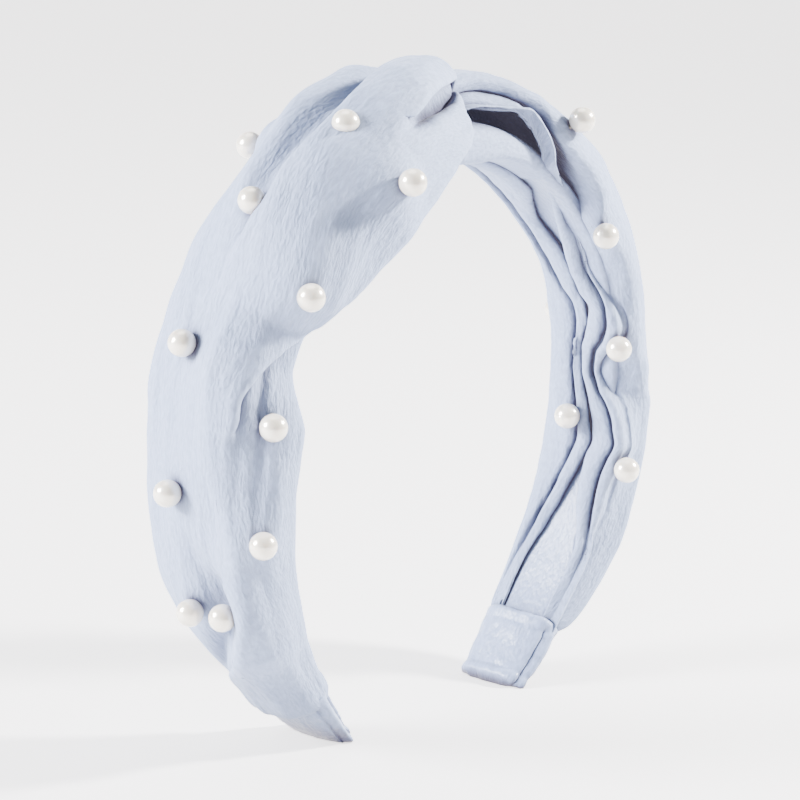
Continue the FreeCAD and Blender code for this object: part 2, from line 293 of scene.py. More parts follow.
# The third colour of each cloth is its painted shade for creases.
CREPE = fabric("crepe", (0.26, 0.325, 0.50, 1), (0.30, 0.365, 0.54, 1), (0.045, 0.03, 0.09, 1),
               crinkle=0.36, fine=0.35, sheen=0.10, rough=0.72)
SATIN = fabric("satin", (0.245, 0.31, 0.49, 1), (0.285, 0.35, 0.53, 1), (0.04, 0.028, 0.085, 1),
               crinkle=0.22, fine=0.12, sheen=0.08, rough=0.30)


def mottled(name, scale, detail, a, b, shading):
    """A material whose colour drifts between a and b, with the shader inputs in shading."""
    mat, nt, bsdf = new_material(name)
    coord = node(nt, "ShaderNodeTexCoord")
    drift = node(nt, "ShaderNodeTexNoise", Scale=scale, Detail=detail)
    nt.links.new(coord.outputs["Object"], drift.inputs["Vector"])
    nt.links.new(mix_colour(nt, drift.outputs[0], a, b), bsdf.inputs["Base Color"])
    set_inputs(bsdf, shading)
    return mat


PEARL = mottled("pearl", 280.0, 2.0, (0.86, 0.79, 0.68, 1), (0.89, 0.84, 0.75, 1),
                {"Roughness": 0.25, "Metallic": 0.3, "Coat Weight": 1.0, "Coat Roughness": 0.08,
                 "Subsurface Weight": 0.25, "Subsurface Radius": (1.0, 0.8, 0.6),
                 "Subsurface Scale": 1.2 * MM})
METAL = mottled("rivet_metal", 1500.0, 3.0, (0.10, 0.09, 0.09, 1), (0.22, 0.20, 0.19, 1),
                {"Metallic": 1.0, "Roughness": 0.35})
PLASTIC = mottled("core_plastic", 400.0, 3.0, (0.75, 0.76, 0.78, 1), (0.82, 0.83, 0.85, 1),
                  {"Roughness": 0.5})
GLUE = mottled("glue", 400.0, 3.0, (0.78, 0.75, 0.66, 1), (0.86, 0.84, 0.76, 1), {"Roughness": 0.5})


def dress(obj, mat, *bodies, blend=None, slot=None, stands_for=()):
    """Gives a piece its material and hides the CAD solids that it stands for; without blend it moves with
    the first body, with blend its transform is baked in place.
    """
    obj.data.materials.clear()
    obj.data.materials.append(mat)
    if stands_for:
        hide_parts(*stands_for)
    if blend:
        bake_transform(obj)
    else:
        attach(obj, bodies[0])
    return obj


# The bending zone beside the knot, for pieces that cross a flex line: start and end, as X and Z in mm.
ZONE = ((6.0, 130.0), (30.0, 118.0))


def zone(side):
    leg = "left_leg" if side < 0 else "right_leg"
    start, end = ((side * x * MM, 0, z * MM) for x, z in ZONE)
    return ("crown", leg, start, end)


# ---------------------------------------------------------------- right scarf (mm)
# Stations down the right half. yb: edge of the back lip; yg: groove between its two ridges;
# yo: back corner; nl: height of the lips; bb, nb: back bulge; out: outermost height;
# bf, nf: front bulge; ya, na: groove behind the front hem; y2: front of the second hem roll;
# yh, nh: inner edge of the front hem.
RIGHT = [
    "s yb yg yo nl bb nb out bf nf ya na y2 yh nh",
    (1, 2.0, 6.0, 9.0, -1.8, 12.0, 5, 13.2, 3.0, 11.4, -1.0, 10.4, -1.4, -3.5, 6.5),
    (6, 2.0, 6.0, 9.4, -2.3, 13.5, 6, 15.0, 3.0, 13.2, -1.2, 11.8, -1.6, -4.8, 7.6),
    (11, 1.0, 6.2, 9.6, -2.6, 14.5, 7, 15.8, 4.0, 13.8, -2.2, 11.9, -2.6, -6.2, 7.8),
    (16, 0.5, 6.6, 10.0, -2.9, 15.0, 7.5, 15.9, 6.6, 13.4, -4.4, 11.6, -5.0, -8.0, 8.4),
    (22, 0.0, 7.0, 10.4, -3.0, 15.5, 7.5, 15.4, 9.4, 12.2, -5.2, 9.8, -5.8, -9.4, 5.4),
    (26, -0.5, 7.4, 10.8, -3.0, 15.8, 7.5, 14.9, 12.6, 7.5, -6.0, 7.4, -6.6, -9.5, 2.4),
    (30, -1.0, 7.8, 11.0, -3.0, 16.0, 7.5, 14.5, 13.8, 6.0, -6.2, 5.2, -6.8, -8.6, -0.8),
    (36, -1.0, 8.0, 11.0, -3.2, 16.0, 7.5, 14.3, 14.8, 5.5, -5.6, 2.6, -6.2, -6.6, -1.6),
    (44, 1.6, 7.8, 10.8, -3.3, 15.5, 7.0, 14.4, 15.4, 3.4, -4.4, 0.8, -5.0, -4.0, -2.2),
    (50, 3.0, 7.2, 10.2, -3.4, 15.0, 7.0, 14.4, 15.8, -1.0, -4.5, -0.8, -5.2, -2.7, -2.7),
    (57, 1.0, 6.0, 9.2, -3.4, 14.4, 6.5, 14.2, 15.0, 0.6, -5.1, -1.6, -5.8, -2.0, -3.0),
    (65, -1.0, 4.4, 8.4, -3.4, 13.8, 6.5, 13.8, 14.2, 2.6, -4.8, -2.0, -6.0, -1.5, -3.2),
    (71, -1.8, 2.6, 8.2, -3.4, 13.5, 6.0, 13.4, 13.8, 3.2, -7.0, -2.0, -8.2, -2.8, -3.2),
    (75, -3.0, 0.6, 8.2, -3.4, 13.5, 5.5, 13.2, 13.7, 3.2, -8.2, -2.0, -10.4, -4.6, -2.9),
    (79, -3.0, 0.2, 8.3, -3.4, 13.6, 5.0, 13.0, 13.6, 3.2, -7.6, -2.0, -11.2, -3.8, -3.1),
    (83, -1.6, 0.4, 8.4, -3.4, 13.6, 5.0, 12.8, 13.6, 3.2, -6.0, -2.0, -9.4, -2.7, -3.2),
    (87, -0.8, 0.9, 8.6, -3.4, 13.5, 5.0, 12.6, 13.6, 3.2, -4.4, -2.1, -7.0, -1.8, -3.2),
    (92, -0.8, 1.2, 8.6, -3.4, 13.4, 5.0, 12.4, 13.6, 5.0, -3.9, -2.2, -5.6, -1.9, -3.2),
    (96, -1.6, 0.8, 8.6, -3.4, 13.3, 4.8, 12.2, 13.6, 5.4, -5.7, -2.1, -8.0, -3.1, -3.2),
    (100, -3.4, -0.4, 8.5, -3.4, 13.1, 4.6, 12.0, 13.7, 7.2, -8.5, -2.0, -11.4, -4.8, -3.2),
    (105, -5.0, -1.6, 8.4, -3.4, 13.0, 4.4, 11.8, 13.8, 7.0, -10.6, -1.8, -13.6, -6.3, -3.0),
    (109, -5.6, -1.6, 8.4, -3.4, 12.8, 4.2, 11.6, 14.0, 7.0, -11.6, -1.6, -14.4, -6.6, -2.9),
    (113, -4.4, -0.6, 8.5, -3.4, 12.8, 4.0, 11.4, 13.8, 7.2, -10.0, -1.6, -12.6, -5.6, -3.0),
    (118, -2.6, 1.0, 8.6, -3.3, 12.6, 4.0, 11.1, 13.6, 7.2, -9.0, -1.6, -11.6, -5.3, -3.0),
    (124, -0.4, 2.8, 8.8, -3.2, 12.4, 4.0, 10.8, 13.6, 7.2, -9.2, -1.4, -11.4, -5.7, -3.0),
    (130, 1.8, 4.6, 9.0, -3.1, 12.2, 3.8, 10.4, 13.2, 6.8, -9.6, -1.2, -10.8, -7.2, -2.8),
    (136, 3.8, 6.2, 9.4, -3.0, 11.8, 3.5, 9.8, 12.6, 6.2, -10.0, -0.8, -10.6, -8.2, -2.4),
    (142, 5.2, 7.2, 9.5, -2.8, 11.4, 3.0, 9.0, 11.8, 5.6, -9.8, -0.6, -10.2, -7.8, -2.4),
    (148, 5.8, 7.6, 9.5, -2.5, 10.8, 2.6, 7.8, 10.8, 5.0, -9.2, -0.4, -9.6, -7.0, -2.4),
    (152.6, 5.8, 7.4, 9.2, -2.3, 10.2, 2.2, 6.4, 9.6, 4.0, -8.8, -0.2, -9.2, -6.8, -2.3),
    (155.2, 5.4, 6.8, 8.3, -1.9, 9.0, 1.4, 4.2, 8.2, 2.6, -8.0, 0.0, -8.3, -6.6, -2.0),
    (157.5, 5.0, 6.2, 7.3, -1.4, 7.8, 0.6, 2.6, 7.0, 1.6, -7.2, 0.0, -7.4, -6.0, -1.5),
]
# The folds of the right scarf get shallower towards the cap, over this stretch of s.
RIGHT_FLATTEN = (126.0, 148.0)
RIGHT_FLATTEN_SHARE = 0.8
# Girth that sets the scale of the weave, and thickness of the cloth, in mm.
RIGHT_GIRTH = 95.0
LEFT_GIRTH = 105.0
RIGHT_THICK = 0.4
LEFT_THICK = 0.5
SATIN_THICK = 0.35

def right_profile(s):
    """Control points of the right scarf's section at arc lengths s: back lip, outer side, front hem."""
    c = {k: column(RIGHT, k, s) for k in RIGHT[0].split()[1:]}
    yb, yg, yo, nl, bb, nb, out = (c[k] for k in ("yb", "yg", "yo", "nl", "bb", "nb", "out"))
    bf, nf, ya, na, y2, yh, nh = (c[k] for k in ("bf", "nf", "ya", "na", "y2", "yh", "nh"))
    roll = np.clip((ya - y2 - 0.5) / 2.0, 0, 1)
    start, end = RIGHT_FLATTEN
    amp = 1.0 - RIGHT_FLATTEN_SHARE * np.clip((s - start) / (end - start), 0, 1)
    my, mn = (yh + ya) / 2, (nh + na) / 2
    # Unit direction out of the front hem, square to the line from its groove to its edge.
    length = np.hypot(ya - yh, na - nh) + 1e-6
    fy, fn = (na - nh) / length, -(ya - yh) / length
    flip = np.where(fy > 0, -1.0, 1.0)
    fy, fn = fy * flip, fn * flip
    pts = [
        (yb + 3.4, nl + 1.7 * amp), (yb + 1.0, nl + 1.6 * amp), (yb - 0.5, nl + 1.1 * amp),
        (yb - 0.3, nl - 0.3 * amp), (yb + 0.9, nl - 0.9 * amp), ((yb + yg) / 2, nl - 1.1 * amp),
        (yg - 0.7, nl - 0.7 * amp), (yg, nl + 1.3 * amp), (yg + 0.25, nl + 1.3 * amp),
        (yg + 0.9, nl - 0.5 * amp), (yg * 0.5 + yo * 0.5, nl - 0.7 * amp), (yo - 0.6, nl - 0.2 * amp),
        (yo + 0.2, nl + 1.3 * amp), (bb * 0.55 + yo * 0.45, nb * 0.25), (bb, nb * 0.75),
        (bb, (nb + out) * 0.5), (bb * 0.82, out * 0.88), (bb * 0.45, out * 1.01),
        (bb * 0.1, out * 1.02), (-bf * 0.35, out), (-bf * 0.8, nf + (out - nf) * 0.75),
        (-bf * 1.05, nf + 0.6), (-bf * 0.98, nf - 2.0),
        ((y2 - 0.2) * 0.6 - bf * 0.4, na * 0.55 + nf * 0.45 - 0.5),
        (y2 - 0.9 + 0.9 * (1 - roll), na + 2.4 - 1.4 * (1 - roll)),
        (y2 + 0.5 * roll, na + 1.6 * roll + 0.4),
        (y2 - 0.5 * roll, na - 0.6 * roll), (y2 * 0.5 + ya * 0.5 - 0.3, na - 1.9 * roll),
        (ya - 0.6, na - 1.2 * roll), (ya - 0.1, na + 0.9), (ya + 0.2, na + 1.0),
        (ya + 0.45 + fy * 0.5, na - 0.4 + fn * 0.5),
        (my + fy * 1.5 * amp, mn + fn * 1.5 * amp), (yh + fy * 1.1 * amp, nh + fn * 1.1 * amp),
        (yh + 0.5, nh - 0.1), (yh + 0.1, nh + 1.1), (yh - 1.2, nh + 1.5), (yh - 3.4, nh + 1.7),
    ]
    return np.stack([np.stack(np.broadcast_arrays(*p), axis=-1) for p in pts], axis=1)


def right_scarf():
    """The narrower scarf half, open over the lining between its two hems."""
    s = np.concatenate([np.arange(1, 60, 0.55), np.arange(60, SCARF_END_S, 0.6)])
    prof = bspline(right_profile(s), 300)
    pts = hoop(s[:, None], prof[..., 0], prof[..., 1])
    uv = cloth_uv(pts)
    width = uv[:, -1:, 0] - uv[:, :1, 0]
    uv[..., 0] *= np.sqrt(RIGHT_GIRTH / width)
    # The dents fade out towards the cap, over s from 130 to 146.
    slack = np.clip((146.0 - s) / 16.0, 0, 1)[:, None, None]
    pts = pts + slack * (crumple(pts, uv, along=16.0, across=6.0, size=0.35, seed=8.0) - pts)
    pts = settle(pts, pearl_seats("pearl_right_"))
    return thicken(grid_mesh("scarf_right_cloth", pts, uv), RIGHT_THICK)


# ---------------------------------------------------------------- left scarf (mm and degrees)
# Stations down the left half, s from the crown (negative past it, where the knot ends): front and
# back half widths, outermost and innermost height, height of the widest place, wraps in degrees.
LEFT = [
    "s bf bb out under mid wf wb",
    (-1.4, 1.5, 3.0, 7.0, -6.0, 6.2, 100, 110),
    (-0.9, 5.5, 6.0, 9.0, -4.6, 5.6, 100, 110),
    (0.3, 9.0, 10.0, 10.6, -2.8, 4.8, 100, 110),
    (2.2, 11.5, 13.0, 11.8, -1.4, 3.8, 100, 112),
    (4.8, 13.0, 15.0, 12.4, 0.2, 3.2, 102, 114),
    (9, 15.0, 17.0, 13.4, 1.8, 2.6, 106, 118),
    (14, 17.0, 18.5, 15.4, 3.4, 2.0, 112, 122),
    (20, 19.0, 19.0, 17.0, 4.2, 1.2, 118, 126),
    (28, 21.0, 21.0, 18.6, 4.6, 0.0, 122, 128),
    (38, 23.0, 18.0, 18.0, 4.6, 0.0, 126, 130),
    (44, 22.0, 18.0, 17.4, 4.5, 0.0, 128, 132),
    (50, 20.5, 19.0, 16.8, 4.4, 0.0, 130, 134),
    (57, 17.0, 21.0, 15.0, 4.4, 0.0, 132, 136),
    (63, 12.5, 21.5, 13.6, 4.2, 0.0, 134, 138),
    (67.5, 9.0, 22.0, 12.8, 4.0, 0.0, 136, 139),
    (71.5, 9.0, 22.0, 12.2, 3.8, 0.0, 138, 140),
    (75, 9.0, 22.5, 11.7, 3.8, 0.0, 140, 140),
    (80, 11.0, 23.0, 11.2, 4.0, 0.0, 143, 141),
    (84, 14.0, 23.0, 10.9, 4.0, 0.0, 144, 141),
    (88, 16.0, 22.5, 10.7, 4.0, 0.0, 145, 142),
    (98, 15.0, 22.5, 10.4, 4.0, 0.0, 146, 144),
    (110, 13.0, 23.0, 10.3, 4.0, 0.0, 146, 145),
    (122, 11.0, 23.0, 10.0, 3.9, 0.0, 147, 147),
    (134, 9.0, 20.0, 8.8, 3.8, 0.0, 149, 150),
    (144, 8.5, 14.5, 7.6, 3.7, 0.0, 153, 154),
    (150, 8.0, 12.0, 7.0, 3.8, 0.0, 155, 156),
    (153.4, 8.5, 11.0, 6.8, 4.0, 0.0, 156, 158),
    (155.6, 8.5, 10.6, 6.5, 4.0, 0.0, 157, 159),
    (156.7, 8.3, 10.2, 5.9, 3.8, 0.0, 158, 160),
    (157.2, 8.0, 9.6, 5.1, 3.5, 0.0, 158, 160),
    (157.6, 7.4, 8.2, 3.2, 2.6, 0.0, 158, 160),
]
# Roundness of the section: 2 is an ellipse, more is boxier.
Q_OUT = 2.5
Q_IN = 4.0


def base_section(s, angle):
    """Width and height of the left scarf's plain section; angle in degrees, 0 outermost."""
    c = {k: column(LEFT, k, s) for k in ("bf", "bb", "out", "under", "mid")}
    a = np.radians(angle)
    sa, ca = np.sin(a), np.cos(a)
    half = np.where(sa < 0, c["bf"], c["bb"])
    top = ca >= 0
    q = np.where(top, Q_OUT, Q_IN)
    tall = np.where(top, c["out"] - c["mid"], c["under"] + c["mid"])
    return (half * np.sign(sa) * np.abs(sa) ** (2 / q),
            c["mid"] + tall * np.sign(ca) * np.abs(ca) ** (2 / q))


# Pleats: angle of the folded edge, depth tucked back and rise of the upper layer, along s.
# Front pleats: the outer layer lies on top of the front one. Back pleats: the other way round.
FRONT_PLEAT = [
    "s angle deep rise",
    (-1.4, -16, 1.0, 0.8), (-0.5, -19, 2.6, 1.6), (1.6, -23, 4.0, 2.2), (5, -28, 5.0, 2.6),
    (9, -33, 5.2, 3.0), (13, -38, 5.2, 3.4), (17, -42, 4.6, 3.4), (20, -44, 3.0, 2.6),
    (23, -45, 1.2, 1.4), (27, -46, 0.0, 0.3), (31, -60, 0.0, 0.0),
    (46, -110, 0.0, 0.0), (60, -105, 0.6, 0.4), (64.5, -100, 1.6, 0.8), (68, -92, 2.6, 1.4),
    (71.5, -80, 3.2, 2.2), (75, -66, 3.6, 3.0), (79, -46, 3.6, 3.2), (84, -29, 2.0, 2.6),
    (91, -25, 0.4, 1.8), (100, -26, 0.0, 0.8), (112, -30, 0.0, 0.0), (158, -30, 0.0, 0.0),
]
BACK_PLEAT = [
    "s angle deep rise",
    (-1.4, 6, 0.8, 1.0), (0.4, 3, 2.6, 4.2), (6, 0, 4.4, 5.2), (17, -8, 5.4, 4.8), (26, -14, 5.8, 4.4),
    (34, -12, 5.4, 4.0), (43, -8, 4.2, 3.2), (50, -3, 2.2, 2.4), (57, 1, 0.4, 1.4),
    (64, 3, 0.0, 0.7), (74, 6, 0.0, 0.0), (104, -6, 0.0, 0.0), (112, -8, 0.0, 0.8),
    (119, -16, 1.2, 2.2), (124, -20, 3.2, 3.2), (129, -20, 4.8, 4.0), (135, -13, 5.0, 4.0),
    (141, 3, 3.6, 2.4), (146, 20, 1.4, 1.2), (151, 38, 0.2, 0.4), (158, 56, 0.0, 0.2),
]
# Soft ridges and valleys: angle, half width in degrees and height, along s.
RIDGES = [
    # Ridge behind the knot's upper lobe, and the valley in front of it.
    ["s angle wide high", (-2.6, 24, 10, 0.4), (3, 22, 12, 2.4), (8, 21, 12, 4.0), (14, 19, 11, 4.2),
     (20, 17, 9, 3.2), (32, 14, 8, 2.2), (44, 15, 8, 1.2), (54, 14, 9, 0.0), (158, 14, 9, 0.0)],
    ["s angle wide high", (-2.6, 12, 5, 0.0), (8, 8, 5, -1.6), (20, 1, 5, -2.2), (32, -2, 5, -2.0),
     (44, 1, 5, -1.0), (54, 4, 6, 0.0), (158, 4, 6, 0.0)],
    # Slit between the knot's two lobes.
    ["s angle wide high", (-1.4, -20, 7, -1.0), (2, -27, 9, -3.4), (5, -32, 10, -4.8),
     (9, -37, 10, -5.4), (13, -42, 9, -5.0), (17, -46, 9, -4.6), (21, -48, 8, -2.6), (25, -50, 7, -0.6),
     (30, -58, 9, 0.0), (158, -50, 9, 0.0)],
    # Front roll of the lower lobe.
    ["s angle wide high", (-2.6, -96, 8, 0.0), (4, -92, 9, 0.8), (10, -88, 9, 1.2), (20, -84, 9, 0.3),
     (28, -84, 9, 0.0), (158, -50, 9, 0.0)],
    # Slow waves down the back of the panel.
    ["s angle wide high", (-2.6, 48, 9, 0.0), (16, 46, 9, -1.0), (34, 42, 9, -0.8), (50, 40, 10, -0.3),
     (66, 40, 10, 0.5), (84, 44, 12, 0.6), (104, 40, 12, -0.3), (124, 40, 10, 0.0), (158, 40, 9, 0.0)],
    # Hollow behind the lowest pleat, with the last two pearls, and the roll in front of it.
    ["s angle wide high", (-2.6, 20, 8, 0.0), (60, 20, 8, 0.0), (106, 14, 9, 0.0), (116, 5, 10, -1.4),
     (124, -2, 12, -3.4), (132, 2, 12, -3.8), (140, 22, 11, -2.8), (148, 48, 10, -0.8), (158, 60, 9, 0.0)],
    ["s angle wide high", (-2.6, -20, 8, 0.0), (60, -20, 8, 0.0), (78, -8, 8, 0.8), (92, -8, 9, 0.9),
     (108, -24, 9, 0.8), (120, -34, 11, 1.0), (140, -20, 12, 0.8), (158, -20, 12, 0.0)],
    # Shallow valley down the front, below the front pleat.
    ["s angle wide high", (-2.6, -62, 8, 0.0), (70, -80, 8, 0.0), (78, -68, 9, -1.0), (86, -50, 9, -1.2),
     (98, -52, 9, -0.9), (110, -56, 9, -0.5), (124, -60, 9, -0.3), (158, -60, 8, 0.0)],
]
# The entry of RIDGES that is the slit of the knot.
SLIT = 2
# Path across one pleat, upper layer first: run before the edge in mm, share of the depth back
# from it, and height as a share of the rise.
PLEAT_PATH = [(2.6, 0, 1.0), (1.7, 0, 1.0), (0.9, 0, 1.0), (0.2, 0, 0.98), (-0.4, 0, 0.88),
              (-0.5, 0, 0.62), (0.0, 0.12, 0.48), (0.0, 0.45, 0.42), (0.0, 0.85, 0.38),
              (0.0, 1.08, 0.22), (0.0, 0.95, 0.02), (0.0, 0.55, -0.02), (0.0, 0.1, -0.04),
              (-0.8, 0, -0.02), (-1.8, 0, 0.0)]
PLEAT_RUN = PLEAT_PATH[0][0]
# Depth in mm from which a pleat is fully folded; a shallower one opens into a step.
FULL_FOLD = 1.6
# How far the rise runs out over the upper layer: values of s, and the distances in mm there.
REACH = ((4.0, 26.0), (9.0, 16.0))


def pleat_points(table, s, arc_of, flip):
    """Edge, rise, and the arcs and heights of one pleat's points; flip: upper layer behind the edge."""
    edge = arc_of(column(table, "angle", s))[:, None]
    deep = column(table, "deep", s)[:, None]
    rise = column(table, "rise", s)[:, None]
    before, back, high = np.array(PLEAT_PATH).T
    run = -before[None, :] - back[None, :] * deep
    flat = np.linspace(-PLEAT_RUN, 1.8, len(PLEAT_PATH))[None, :]
    fold = np.clip(deep / FULL_FOLD, 0, 1)
    fold = fold * fold * (3 - 2 * fold)
    run = flat + (run - flat) * fold
    step = 1 / (1 + np.exp(flat * 2.2))
    h = rise * (high[None, :] * fold + step * (1 - fold))
    if flip:
        run, h = -run[:, ::-1], h[:, ::-1]
    return edge, rise, edge + run, h


def run_up(distance, s):
    """Share of a pleat's rise at a distance in mm before its edge, on the upper layer."""
    d = np.clip((distance - PLEAT_RUN) / np.interp(s, *REACH)[:, None], 0, 1)
    return (1 - d * d * (3 - 2 * d)) * (distance >= 0)


def hem_roll(arc, total, size, width):
    """Rise of a turned hem near both edges of a sheet."""
    near = np.minimum(arc, total - arc)
    return size * np.exp(-((near - width * 0.5) / (width * 0.55)) ** 2)


def plain_section(s):
    """Angles, y, n and arc of the left scarf's plain sections at arc lengths s, one row each."""
    turn = np.linspace(-1, 1, 361)
    wf, wb = column(LEFT, "wf", s), column(LEFT, "wb", s)
    ang = np.where(turn[None, :] < 0, wf[:, None], wb[:, None]) * turn[None, :]
    y = np.empty_like(ang)
    n = np.empty_like(ang)
    for k in range(ang.shape[1]):
        y[:, k], n[:, k] = base_section(s, ang[:, k])
    step = np.hypot(np.diff(y, axis=1), np.diff(n, axis=1))
    arc = np.concatenate([np.zeros((len(s), 1)), np.cumsum(step, axis=1)], axis=1)
    return ang, y, n, arc


def by_row(at, xs, ys):
    """Each row of ys over xs, read at the row of at."""
    return np.array([np.interp(a, x, y) for a, x, y in zip(at, xs, ys)])


def pleated_path(s, ang, arc):
    """Arcs and heights of the cloth's path across the section, and 1 to 0 from the front layer up."""
    total = arc[:, -1]

    def arc_of(angle):
        return by_row(angle, ang, arc)

    edge_f, rise_f, ua, ha = pleat_points(FRONT_PLEAT, s, arc_of, True)
    edge_b, rise_b, ub, hb = pleat_points(BACK_PLEAT, s, arc_of, False)
    ua = ua + np.maximum(2.0 - ua[:, :1], 0)
    first = ua[:, :1] * np.linspace(0, 1, 14)[None, :-1]
    mid = ua[:, -1:] + (ub[:, :1] - ua[:, -1:]) * np.linspace(0, 1, 18)[None, 1:-1]
    last = ub[:, -1:] + (total[:, None] - ub[:, -1:]) * np.linspace(0, 1, 26)[None, 1:]
    h_first = rise_b * run_up(edge_b - first, s)
    ha = ha + rise_b * run_up(edge_b - ua, s)
    h_mid = rise_b * run_up(edge_b - mid, s) + rise_f * run_up(mid - edge_f, s)
    hb = hb + rise_f * run_up(ub - edge_f, s)
    h_last = rise_f * run_up(last - edge_f, s)
    ctrl_u = np.concatenate([first, ua, mid, ub, last], axis=1)
    ctrl_h = np.concatenate([h_first, ha, h_mid, hb, h_last], axis=1)
    # The slit is pressed into the front layer only, and fades out over the tucked one.
    low = np.zeros_like(ctrl_u)
    front = first.shape[1] + 4
    low[:, :front] = 1.0
    low[:, front:front + 4] = [0.8, 0.6, 0.4, 0.2]
    path = bspline(np.stack([ctrl_u, ctrl_h, low], axis=-1), 470)
    return path[..., 0], path[..., 1], path[..., 2]


def left_points():
    """Points of the left scarf and their cloth lengths in mm."""
    s = np.concatenate([np.arange(-1.4, 4, 0.2), np.arange(4, 152, 0.6),
                        np.arange(152, SCARF_END_S + 0.01, 0.2)])
    ang, y, n, arc = plain_section(s)
    total = arc[:, -1:]
    u, h, low = pleated_path(s, ang, arc)
    angle_at = by_row(u, arc, ang)
    for number, ridge in enumerate(RIDGES):
        centre, wide, high = (column(ridge, k, s)[:, None] for k in ("angle", "wide", "high"))
        share = low if number == SLIT else 1.0
        h = h + high * np.exp(-((angle_at - centre) / wide) ** 2) * share
    h = h + hem_roll(u, total, 0.7, 3.0)
    # The last 4 mm come down to the plain section.
    fade = np.clip((158.0 - s) / 4.0, 0.0, 1.0)[:, None]
    h = h * np.where(fade < 1, fade * (2 - fade), 1)
    # Normals of the plain section, from its own slope.
    gy = np.gradient(y, axis=1)
    gn = np.gradient(n, axis=1)
    size = np.hypot(gy, gn) + 1e-9
    yy = by_row(u, arc, y) + by_row(u, arc, -gn / size) * h
    nn = by_row(u, arc, n) + by_row(u, arc, gy / size) * h
    top = np.array([np.interp(0.0, ang[i], arc[i]) for i in range(len(s))])[:, None]
    across = (u - top) * np.sqrt(LEFT_GIRTH / total)
    uv = np.stack([across, np.repeat(s[:, None], u.shape[1], axis=1)], axis=-1)
    return hoop(-s[:, None], yy, nn), uv


def crumple(points, uv, along, across, size, seed):
    """Small soft dents, in a noise stretched along the hoop; along, across and size are in mm."""
    flat = np.stack([uv[..., 0] / across, uv[..., 1] / along], axis=-1).reshape(-1, 2)
    d = np.array([noise.fractal(Vector((a + seed, b, 0.3 * seed)), 0.6, 2.0, 3) for a, b in flat])
    du = np.gradient(points, axis=1)
    dv = np.gradient(points, axis=0)
    nrm = np.cross(du, dv)
    nrm /= np.linalg.norm(nrm, axis=-1, keepdims=True) + 1e-9
    return points + nrm * (size * d.reshape(points.shape[:2]))[..., None]


def pearl_seats(prefix):
    """Centres and radius in mm of the pearls whose nodes start with prefix."""
    seats = []
    for name in sorted(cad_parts):
        if name.startswith(prefix):
            lo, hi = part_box(name)
            seats.append((np.array([(a + b) / 2 for a, b in zip(lo, hi)]) / MM,
                          min(b - a for a, b in zip(lo, hi)) / 2 / MM))
    return seats


# How far the draw at a pearl reaches: a fixed distance in mm, and a share of the shift.
SEAT_REACH = 7.0
SEAT_REACH_PER_SHIFT = 2.2
# Weight of y in finding which way is out from the core, because the sections are wider than tall.
SEAT_Y_WEIGHT = 0.7


def settle(points, seats):
    """Draws the cloth gently in or out at each pearl, so that the pearl rests on it."""
    flat = points.reshape(-1, 3).copy()
    normal = np.cross(np.gradient(points, axis=1), np.gradient(points, axis=0)).reshape(-1, 3)
    normal /= np.linalg.norm(normal, axis=1, keepdims=True) + 1e-9
    track = np.arange(-172.0, 172.0, 0.5)
    spine = hoop(track, 0.0, 0.0)
    for centre, radius in seats:
        core = spine[int(np.argmin(np.linalg.norm(spine[:, (0, 2)] - centre[[0, 2]], axis=1)))]
        rough = (centre - core) * np.array([1.0, SEAT_Y_WEIGHT, 1.0])
        k = int(np.argmin(np.linalg.norm(flat - centre, axis=1)))
        axis = normal[k] * (1.0 if normal[k] @ rough > 0 else -1.0)
        shift = (centre - flat[k]) @ axis - radius
        reach = np.linalg.norm(flat - flat[k], axis=1)
        w = np.clip(1 - reach / (SEAT_REACH + SEAT_REACH_PER_SHIFT * abs(shift)), 0, 1)
        w = w * w * (3 - 2 * w)
        flat += axis[None, :] * (shift * w)[:, None]
    return flat.reshape(points.shape)


def left_scarf():
    """The wide pleated scarf half, with the knot's two lobes at its upper end."""
    pts, uv = left_points()
    pts = crumple(pts, uv, along=22.0, across=7.0, size=0.35, seed=3.0)
    pts = settle(pts, pearl_seats("pearl_left_"))
    return thicken(grid_mesh("scarf_left_cloth", pts, uv), LEFT_THICK, offset=1.0)


# ---------------------------------------------------------------- linings, caps, wrap under the crown
def tube(name, s, half, low, high, q, count, wrinkle, seed):
    """Closed sleeve along the hoop: oval sections at arc lengths s."""
    a = np.linspace(0, 2 * math.pi, count, endpoint=False)
    sa, ca = np.sin(a), np.cos(a)
    y = half[:, None] * np.sign(sa) * np.abs(sa) ** (2 / q)
    n = np.where(ca > 0, high[:, None], -low[:, None]) * np.abs(ca)[None, :] ** (2 / q)
    pts = hoop(s[:, None], y, n)
    uv = cloth_uv(pts)
    pts = crumple(pts, uv, along=10.0, across=3.0, size=wrinkle, seed=seed)
    return grid_mesh(name, pts, uv, closed=True)


def lining(side):
    """Satin sleeve over half the core, from the crown into the cap."""
    s = side * np.arange(0.0, 156.6, 0.8)
    half = core_half(s) + 0.75
    tall = np.full_like(half, 1.5)
    name = "lining_%s_cloth" % ("left" if side < 0 else "right")
    obj = tube(name, s, half, tall, tall, q=5.0, count=72, wrinkle=0.12, seed=11.0 + side)
    return thicken(obj, SATIN_THICK)


def underwrap():
    """Cloth wound once round the core where it comes out of the knot."""
    s = np.arange(-9.5, 33.0, 0.5)
    stations = [-9.5, 6, 14, 24, 33]
    half = pchip(stations, [9.8, 9.8, 9.6, 9.4, 9.1], s)
    high = pchip(stations, [4.6, 4.8, 4.4, 3.4, 1.8], s)
    low = pchip(stations, [4.4, 4.2, 2.6, 1.9, 1.7], s)
    obj = tube("knot_under_cloth", s, half, low, high, q=3.2, count=140, wrinkle=0.06, seed=5.0)
    return thicken(obj, RIGHT_THICK)


